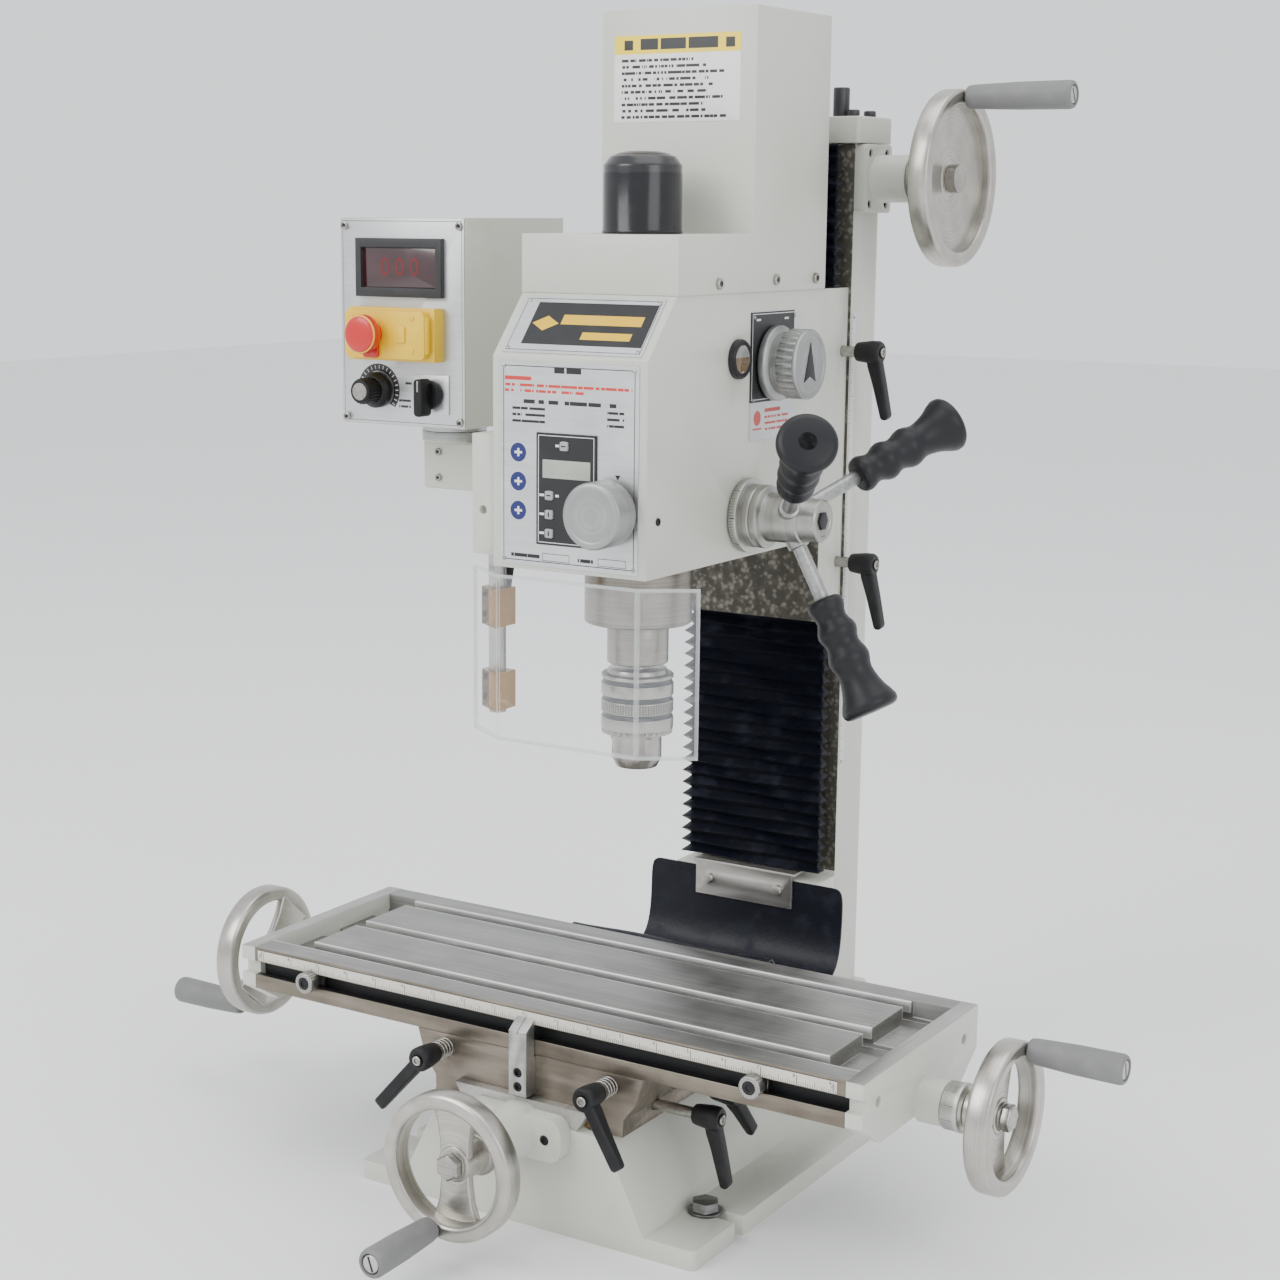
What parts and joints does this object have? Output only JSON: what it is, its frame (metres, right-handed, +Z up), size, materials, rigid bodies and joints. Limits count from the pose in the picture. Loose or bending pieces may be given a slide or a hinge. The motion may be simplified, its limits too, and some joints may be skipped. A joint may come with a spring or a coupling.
{
  "type": "vertical milling machine",
  "caption": "Bench vertical mill-drill: dovetail column, geared head with quill and keyed chuck, compound T-slot table, handwheels, guard and control box.",
  "frame": {"origin": "centre of the base casting's underside", "axes": "+X to the machine's right, +Y back towards the column, +Z up the column"},
  "size_m": [0.754, 0.5765, 0.809],
  "materials": {
    "light_paint": "satin machine enamel on castings and sheet covers",
    "bare_iron": "scraped and ground iron slideways",
    "ground_table": "fine ground top",
    "bright_steel": "turned and ground steel",
    "polished_aluminium": "polished rims, brushed webs",
    "plate_aluminium": "printed aluminium plates",
    "grey_grip": "moulded grips",
    "black_lever": "textured die-cast levers",
    "black_rubber": "pleated bellows and rubber sheet",
    "clear_sheet": "clear polycarbonate",
    "safety_yellow": "moulded switch lid",
    "grey_button": "rubber keys",
    "motor_black": "black enamel",
    "bronze": "nuts and gibs"
  },
  "bodies": {
    "stand": {"base_casting": "light_paint", "hold_down_bolts": "bright_steel", "column_casting": "light_paint", "column_top_plate": "light_paint", "screw_brackets": "light_paint", "bellows_foot_bracket": "bright_steel", "lower_bellows": "black_rubber", "upper_bellows": "black_rubber", "rear_apron": "black_rubber"},
    "saddle": {"saddle_casting": "bare_iron", "saddle_fittings": "bronze"},
    "table": {"table_casting": "ground_table", "end_brackets": "light_paint", "travel_stops": "bright_steel"},
    "y_screw": {"y_leadscrew": "bright_steel", "y_handwheel": "polished_aluminium"},
    "y_handle": {"y_grip": "grey_grip"},
    "x_screw": {"x_leadscrew": "bright_steel", "x_handwheels": "polished_aluminium"},
    "x_handle_right": {"x_grip_right": "grey_grip"},
    "x_handle_left": {"x_grip_left": "grey_grip"},
    "z_crank": {"z_cross_shaft": "bright_steel", "z_handwheel": "polished_aluminium"},
    "z_handle": {"z_grip": "grey_grip"},
    "z_screw": {"z_leadscrew": "bright_steel"},
    "x_lock_left": {"x_lock_left": "black_lever"},
    "x_lock_right": {"x_lock_right": "black_lever"},
    "y_lock_front": {"y_lock_front": "black_lever"},
    "y_lock_rear": {"y_lock_rear": "black_lever"},
    "z_lock_upper": {"z_lock_upper": "black_lever"},
    "z_lock_lower": {"z_lock_lower": "black_lever"},
    "quill_lock": {"quill_lock": "black_lever"},
    "head": {"head_casting": "light_paint", "head_slide": "bare_iron", "head_covers": "light_paint", "head_plates": "plate_aluminium", "motor": "motor_black", "side_arms": "light_paint"},
    "motor_rotor": {"motor_pinion": "bright_steel"},
    "gear_cluster": {"cluster_gear": "bright_steel"},
    "drive_sleeve": {"spindle_gear": "bright_steel"},
    "quill": {"quill": "bright_steel"},
    "spindle": {"spindle": "bright_steel", "chuck_body": "bright_steel"},
    "chuck_sleeve": {"chuck_sleeve": "bright_steel"},
    "jaw_1": {"chuck_jaw_1": "bright_steel"},
    "jaw_2": {"chuck_jaw_2": "bright_steel"},
    "jaw_3": {"chuck_jaw_3": "bright_steel"},
    "feed_handle": {"feed_hub": "bright_steel"},
    "fine_feed": {"fine_feed_knob": "polished_aluminium"},
    "gear_selector": {"gear_knob": "polished_aluminium"},
    "button_power": {"readout_button_power": "grey_button"},
    "button_unit": {"readout_button_unit": "grey_button"},
    "button_up": {"readout_button_up": "grey_button"},
    "button_down": {"readout_button_down": "grey_button"},
    "guard": {"guard_shield": "clear_sheet"},
    "control_box": {"control_box": "light_paint"},
    "estop_lid": {"estop_lid": "safety_yellow"},
    "speed_knob": {"speed_knob": "black_lever"},
    "selector": {"selector_knob": "black_lever"}
  },
  "joints": [
    {"name": "y_crank", "type": "hinge", "parent": "stand", "child": "y_screw", "pos_m": [0, -0.274, 0.07], "axis": [0, 1, 0], "range_deg": [-5041, 9361]},
    {"name": "y_grip_spin", "type": "hinge", "parent": "y_screw", "child": "y_handle", "pos_m": [-0.01152, -0.274, 0.02702], "axis": [0, 1, 0], "continuous": true},
    {"name": "saddle_slide", "type": "slide", "parent": "stand", "child": "saddle", "axis": [0, 1, 0], "range_m": [-0.035, 0.065], "deforming": ["rear_apron"]},
    {"name": "x_crank", "type": "hinge", "parent": "table", "child": "x_screw", "pos_m": [0.305, -0.097, 0.112], "axis": [1, 0, 0], "range_deg": [-20161, 20161]},
    {"name": "x_right_grip_spin", "type": "hinge", "parent": "x_screw", "child": "x_handle_right", "pos_m": [0.305, -0.08033, 0.15326], "axis": [1, 0, 0], "continuous": true},
    {"name": "x_left_grip_spin", "type": "hinge", "parent": "x_screw", "child": "x_handle_left", "pos_m": [-0.305, -0.11581, 0.07167], "axis": [1, 0, 0], "continuous": true},
    {"name": "table_slide", "type": "slide", "parent": "saddle", "child": "table", "axis": [1, 0, 0], "range_m": [-0.14, 0.14]},
    {"name": "z_crank", "type": "hinge", "parent": "stand", "child": "z_crank", "pos_m": [0.129, 0.168, 0.698], "axis": [1, 0, 0], "range_deg": [-11701, 5851]},
    {"name": "z_grip_spin", "type": "hinge", "parent": "z_crank", "child": "z_handle", "pos_m": [0.129, 0.17098, 0.75492], "axis": [1, 0, 0], "continuous": true},
    {"name": "z_screw_spin", "type": "hinge", "parent": "stand", "child": "z_screw", "pos_m": [0, 0.168, 0.4], "axis": [0, 0, 1], "range_deg": [-11701, 5851]},
    {"name": "head_slide", "type": "slide", "parent": "stand", "child": "head", "axis": [0, 0, 1], "range_m": [-0.13, 0.065], "deforming": ["lower_bellows", "upper_bellows"]},
    {"name": "x_lock_left_turn", "type": "hinge", "parent": "saddle", "child": "x_lock_left", "pos_m": [-0.066, -0.187, 0.111], "axis": [0, 1, 0], "range_deg": [-10, 40]},
    {"name": "x_lock_right_turn", "type": "hinge", "parent": "saddle", "child": "x_lock_right", "pos_m": [0.066, -0.187, 0.111], "axis": [0, 1, 0], "range_deg": [-40, 10]},
    {"name": "y_lock_front_turn", "type": "hinge", "parent": "saddle", "child": "y_lock_front", "pos_m": [0.081, -0.145, 0.086], "axis": [1, 0, 0], "range_deg": [-20, 20]},
    {"name": "y_lock_rear_turn", "type": "hinge", "parent": "saddle", "child": "y_lock_rear", "pos_m": [0.081, -0.1, 0.086], "axis": [1, 0, 0], "range_deg": [-20, 20]},
    {"name": "z_lock_upper_turn", "type": "hinge", "parent": "head", "child": "z_lock_upper", "pos_m": [0.06, 0.138, 0.574], "axis": [1, 0, 0], "range_deg": [-40, 40]},
    {"name": "z_lock_lower_turn", "type": "hinge", "parent": "head", "child": "z_lock_lower", "pos_m": [0.06, 0.138, 0.418], "axis": [1, 0, 0], "range_deg": [-40, 40]},
    {"name": "quill_lock_turn", "type": "hinge", "parent": "head", "child": "quill_lock", "pos_m": [-0.06, -0.095, 0.451], "axis": [1, 0, 0], "range_deg": [-15, 60]},
    {"name": "feed_turn", "type": "hinge", "parent": "head", "child": "feed_handle", "pos_m": [0.093, -0.008, 0.4687], "axis": [1, 0, 0], "range_deg": [0, 358.1], "stiffness_Nm_per_rad": 0.08, "springref_deg": -91.67},
    {"name": "quill_slide", "type": "slide", "parent": "head", "child": "quill", "axis": [0, 0, -1], "range_m": [0, 0.05002]},
    {"name": "spindle_spin", "type": "hinge", "parent": "quill", "child": "spindle", "pos_m": [0, -0.049, 0.4], "axis": [0, 0, 1], "continuous": true},
    {"name": "sleeve_spin", "type": "hinge", "parent": "head", "child": "drive_sleeve", "pos_m": [0, -0.049, 0.58], "axis": [0, 0, 1], "continuous": true},
    {"name": "cluster_spin", "type": "hinge", "parent": "head", "child": "gear_cluster", "pos_m": [0, 0.003, 0.58], "axis": [0, 0, 1], "continuous": true},
    {"name": "rotor_spin", "type": "hinge", "parent": "head", "child": "motor_rotor", "pos_m": [0, 0.046, 0.6], "axis": [0, 0, 1], "continuous": true},
    {"name": "chuck_sleeve_turn", "type": "hinge", "parent": "spindle", "child": "chuck_sleeve", "pos_m": [0, -0.049, 0.335], "axis": [0, 0, 1], "range_deg": [0, 1440]},
    {"name": "jaw_1_slide", "type": "slide", "parent": "spindle", "child": "jaw_1", "axis": [0, -0.309, -0.9511], "range_m": [0, 0.01402]},
    {"name": "jaw_2_slide", "type": "slide", "parent": "spindle", "child": "jaw_2", "axis": [0.2676, 0.1545, -0.9511], "range_m": [0, 0.01402]},
    {"name": "jaw_3_slide", "type": "slide", "parent": "spindle", "child": "jaw_3", "axis": [-0.2676, 0.1545, -0.9511], "range_m": [0, 0.01402]},
    {"name": "fine_feed_turn", "type": "hinge", "parent": "head", "child": "fine_feed", "pos_m": [0.034, -0.15, 0.482], "axis": [0, 1, 0], "continuous": true},
    {"name": "gear_knob_turn", "type": "hinge", "parent": "head", "child": "gear_selector", "pos_m": [0.08, 0.029, 0.571], "axis": [1, 0, 0], "range_deg": [-35, 35]},
    {"name": "button_power_press", "type": "slide", "parent": "head", "child": "button_power", "axis": [0, 1, 0], "range_m": [0, 0.0008], "stiffness_N_per_m": 1500},
    {"name": "button_unit_press", "type": "slide", "parent": "head", "child": "button_unit", "axis": [0, 1, 0], "range_m": [0, 0.0008], "stiffness_N_per_m": 1500},
    {"name": "button_up_press", "type": "slide", "parent": "head", "child": "button_up", "axis": [0, 1, 0], "range_m": [0, 0.0008], "stiffness_N_per_m": 1500},
    {"name": "button_down_press", "type": "slide", "parent": "head", "child": "button_down", "axis": [0, 1, 0], "range_m": [0, 0.0008], "stiffness_N_per_m": 1500},
    {"name": "guard_swing", "type": "hinge", "parent": "head", "child": "guard", "pos_m": [-0.07, -0.12, 0.4], "axis": [0, 0, 1], "range_deg": [-110, 0]},
    {"name": "control_box_swivel", "type": "hinge", "parent": "head", "child": "control_box", "pos_m": [-0.2295, 0.052, 0.507], "axis": [0, 0, 1], "range_deg": [-45, 45]},
    {"name": "estop_lid_open", "type": "hinge", "parent": "control_box", "child": "estop_lid", "pos_m": [-0.196, -0.0299, 0.584], "axis": [0, 0, 1], "range_deg": [0, 100]},
    {"name": "speed_knob_turn", "type": "hinge", "parent": "control_box", "child": "speed_knob", "pos_m": [-0.252, -0.02, 0.541], "axis": [0, 1, 0], "range_deg": [0, 270]},
    {"name": "selector_turn", "type": "hinge", "parent": "control_box", "child": "selector", "pos_m": [-0.202, -0.02, 0.5395], "axis": [0, 1, 0], "range_deg": [-60, 60]}
  ],
  "couplings": [
    {"joint": "y_crank", "follows": "saddle_slide", "rad_per_m": 2513.3},
    {"joint": "x_crank", "follows": "table_slide", "rad_per_m": 2513.3},
    {"joint": "z_crank", "follows": "head_slide", "rad_per_m": 1570.8},
    {"joint": "z_screw_spin", "follows": "head_slide", "rad_per_m": 1570.8},
    {"joint": "quill_slide", "follows": "feed_turn", "m_per_rad": 0.008},
    {"joint": "sleeve_spin", "follows": "spindle_spin", "ratio": 1},
    {"joint": "cluster_spin", "follows": "spindle_spin", "ratio": -1.8889},
    {"joint": "rotor_spin", "follows": "spindle_spin", "ratio": 5.4949},
    {"joint": "jaw_1_slide", "follows": "chuck_sleeve_turn", "m_per_rad": 0.00055704},
    {"joint": "jaw_2_slide", "follows": "chuck_sleeve_turn", "m_per_rad": 0.00055704},
    {"joint": "jaw_3_slide", "follows": "chuck_sleeve_turn", "m_per_rad": 0.00055704}
  ]
}
